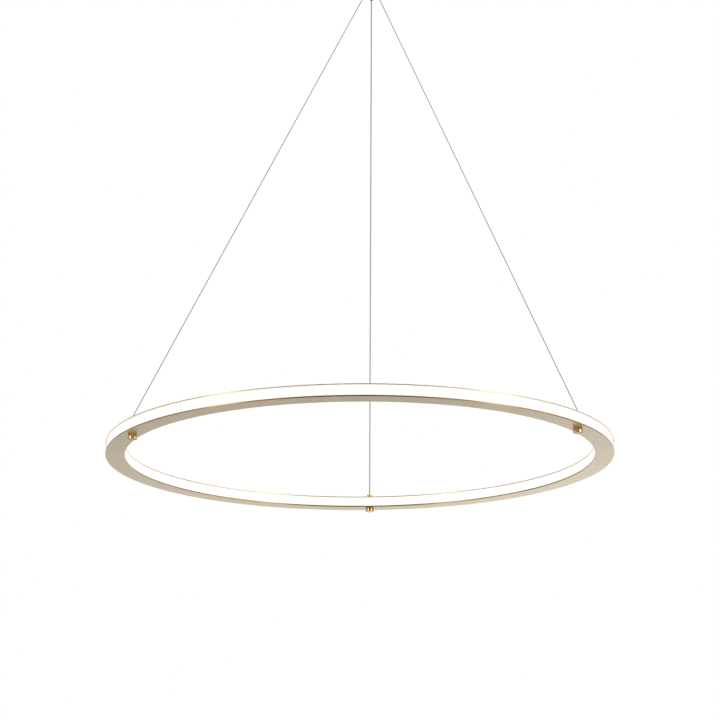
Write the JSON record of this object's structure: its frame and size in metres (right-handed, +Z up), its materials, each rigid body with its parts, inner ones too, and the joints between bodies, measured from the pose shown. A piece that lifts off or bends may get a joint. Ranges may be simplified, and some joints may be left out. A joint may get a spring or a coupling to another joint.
{
  "type": "ring pendant light",
  "caption": "Large illuminated ring with champagne metal faces and opal side bands, hung level on taut lines from a swivel hub under a round ceiling canopy.",
  "frame": {"origin": "centre of the canopy's ceiling face, at the middle of the two mounting slots", "axes": "+Z up, into the ceiling; +X to the right and +Y away from the viewer of the reference view"},
  "size_m": [1.1998, 1.2, 1.2938],
  "materials": {
    "champagne_metal": "satin champagne",
    "gold_trim": "polished",
    "opal": "opal",
    "raw_aluminium": "mill",
    "strip_board": "matt",
    "light_package": "matt",
    "steel": "drawn",
    "zinc_steel": "zinc plated",
    "brass_screw": "turned",
    "cable_jacket": "clear over braid",
    "canopy_finish": "satin champagne",
    "hub_finish": "polished",
    "rubber_seal": "matt",
    "driver_case": "moulded",
    "terminal_plastic": "moulded",
    "lead_jacket": "smooth",
    "nylon": "matt"
  },
  "bodies": {
    "canopy": {"ceiling_plate": "zinc_steel", "threaded_stem": "zinc_steel", "stem_boss": "zinc_steel", "stem_nuts": "zinc_steel", "led_driver": "driver_case", "driver_screws": "zinc_steel", "terminal_block": "terminal_plastic", "terminal_screws": "brass_screw", "lamp_connector": "terminal_plastic", "driver_input_leads": "lead_jacket", "driver_output_lead": "lead_jacket"},
    "cover": {"canopy_cover": "canopy_finish"},
    "cover_screw_left": {"canopy_screw_left": "gold_trim"},
    "cover_screw_right": {"canopy_screw_right": "gold_trim"},
    "swivel": {"swivel_fork": "zinc_steel", "swivel_washer": "nylon"},
    "hub": {"swivel_hub": "hub_finish", "tilt_pin": "zinc_steel", "tilt_pin_clip": "zinc_steel", "wire_gripper_left": "gold_trim", "wire_gripper_right": "gold_trim", "cable_gland": "gold_trim", "cable_gland_seal": "rubber_seal", "wire_tail_left": "steel", "wire_tail_right": "steel", "cable_tail": "cable_jacket", "suspension_wire_left": "steel", "suspension_wire_right": "steel", "power_cable": "cable_jacket"},
    "plunger_left": {"release_plunger_left": "gold_trim"},
    "plunger_right": {"release_plunger_right": "gold_trim"},
    "gland_nut": {"cable_gland_nut": "gold_trim"},
    "ring": {"bottom_plate": "champagne_metal", "top_plate": "champagne_metal", "outer_diffuser": "opal", "inner_diffuser": "opal", "core_profile": "raw_aluminium", "outer_light_strip": "strip_board", "inner_light_strip": "strip_board", "outer_light_chips": "light_package", "inner_light_chips": "light_package", "top_plate_screws": "zinc_steel", "anchor_stud_left": "brass_screw", "anchor_stud_right": "brass_screw", "anchor_stud_far": "brass_screw", "anchor_collars": "gold_trim", "wire_end_left": "steel", "wire_end_right": "steel", "cable_end": "cable_jacket", "wire_ferrules": "steel", "strip_leads": "lead_jacket"},
    "knob_left": {"anchor_knob_left": "gold_trim"},
    "knob_right": {"anchor_knob_right": "gold_trim"},
    "knob_far": {"anchor_knob_far": "gold_trim"}
  },
  "joints": [
    {"name": "twist", "type": "hinge", "parent": "canopy", "child": "swivel", "pos_m": [0, 0, -0.034], "axis": [0, 0, 1], "range_deg": [-180, 180]},
    {"name": "tilt", "type": "hinge", "parent": "swivel", "child": "hub", "pos_m": [0, 0, -0.034], "axis": [1, 0, 0], "range_deg": [-12, 12]},
    {"name": "ring_height", "type": "slide", "parent": "hub", "child": "ring", "axis": [0, 0, 1], "range_m": [0, 0.6], "deforming": ["suspension_wire_left", "suspension_wire_right", "power_cable"]},
    {"name": "cover_drop", "type": "slide", "parent": "canopy", "child": "cover", "axis": [0, 0, -1], "range_m": [0, 0.03]},
    {"name": "cover_screw_left_turn", "type": "hinge", "parent": "canopy", "child": "cover_screw_left", "pos_m": [-0.09, 0, -0.012], "axis": [-1, 0, 0], "continuous": true},
    {"name": "cover_screw_right_turn", "type": "hinge", "parent": "canopy", "child": "cover_screw_right", "pos_m": [0.09, 0, -0.012], "axis": [1, 0, 0], "continuous": true},
    {"name": "release_left", "type": "slide", "parent": "hub", "child": "plunger_left", "axis": [0.4037, 0.1945, 0.894], "range_m": [0, 0.0025], "stiffness_N_per_m": 600, "springref_m": -0.001},
    {"name": "release_right", "type": "slide", "parent": "hub", "child": "plunger_right", "axis": [-0.3388, 0.2349, 0.9111], "range_m": [0, 0.0025], "stiffness_N_per_m": 600, "springref_m": -0.001},
    {"name": "gland_nut_turn", "type": "hinge", "parent": "hub", "child": "gland_nut", "pos_m": [-0.00016, 0.01546, -0.06651], "axis": [-0.0045, 0.4293, -0.9031], "continuous": true},
    {"name": "knob_left_turn", "type": "hinge", "parent": "ring", "child": "knob_left", "pos_m": [-0.54452, -0.26237, -1.284], "axis": [0, 0, 1], "continuous": true},
    {"name": "knob_right_turn", "type": "hinge", "parent": "ring", "child": "knob_right", "pos_m": [0.44849, -0.31094, -1.284], "axis": [0, 0, 1], "continuous": true},
    {"name": "knob_far_turn", "type": "hinge", "parent": "ring", "child": "knob_far", "pos_m": [-0.00596, 0.57331, -1.284], "axis": [0, 0, 1], "continuous": true}
  ]
}
